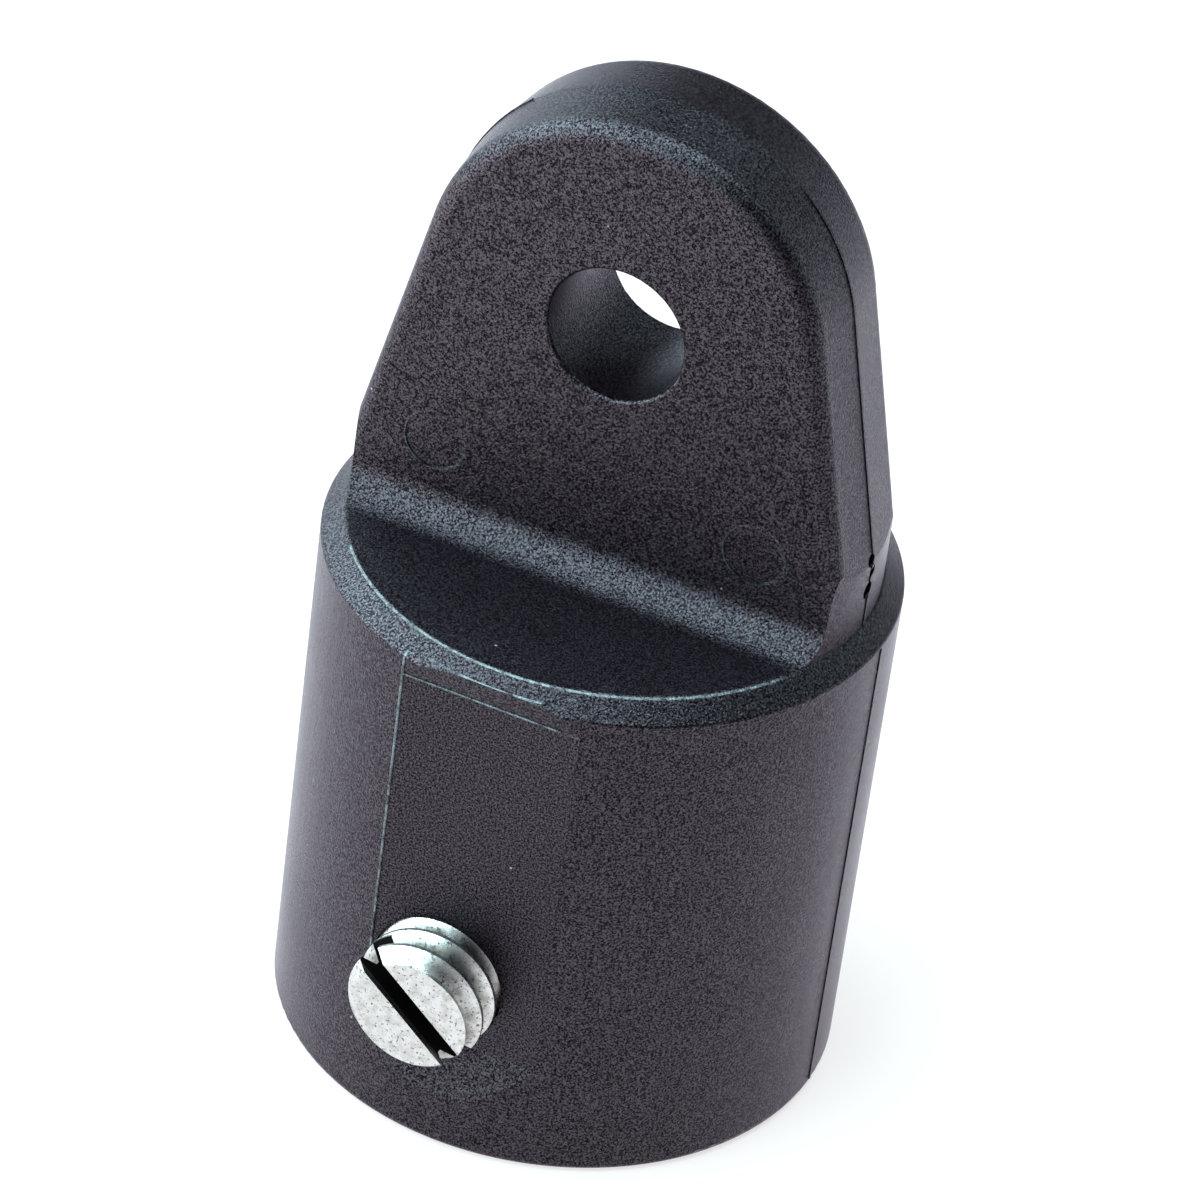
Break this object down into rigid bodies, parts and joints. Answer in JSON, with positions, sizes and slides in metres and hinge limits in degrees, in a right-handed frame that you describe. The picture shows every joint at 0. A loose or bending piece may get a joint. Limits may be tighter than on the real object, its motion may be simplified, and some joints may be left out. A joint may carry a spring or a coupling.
{
  "type": "eye end cap",
  "caption": "Moulded eye end cap for a boat canopy frame tube, with a round tube socket, a pivot eye and a slotted set screw.",
  "frame": {"origin": "centre of the tube socket's mouth", "axes": "+Z along the tube's axis, from the socket's mouth towards the eye; +Y through the eye plate; the set screw enters from -Y"},
  "size_m": [0.0262, 0.028, 0.0486],
  "materials": {
    "end_cap": "fine grained, from the mould",
    "set_screw": "bright, turned"
  },
  "bodies": {
    "cap": {"end_cap": "end_cap"},
    "screw": {"set_screw": "set_screw"}
  },
  "joints": [
    {"name": "screw_feed", "type": "slide", "parent": "cap", "child": "screw", "axis": [0, 1, 0], "range_m": [-0.0007, 0.0027]}
  ]
}
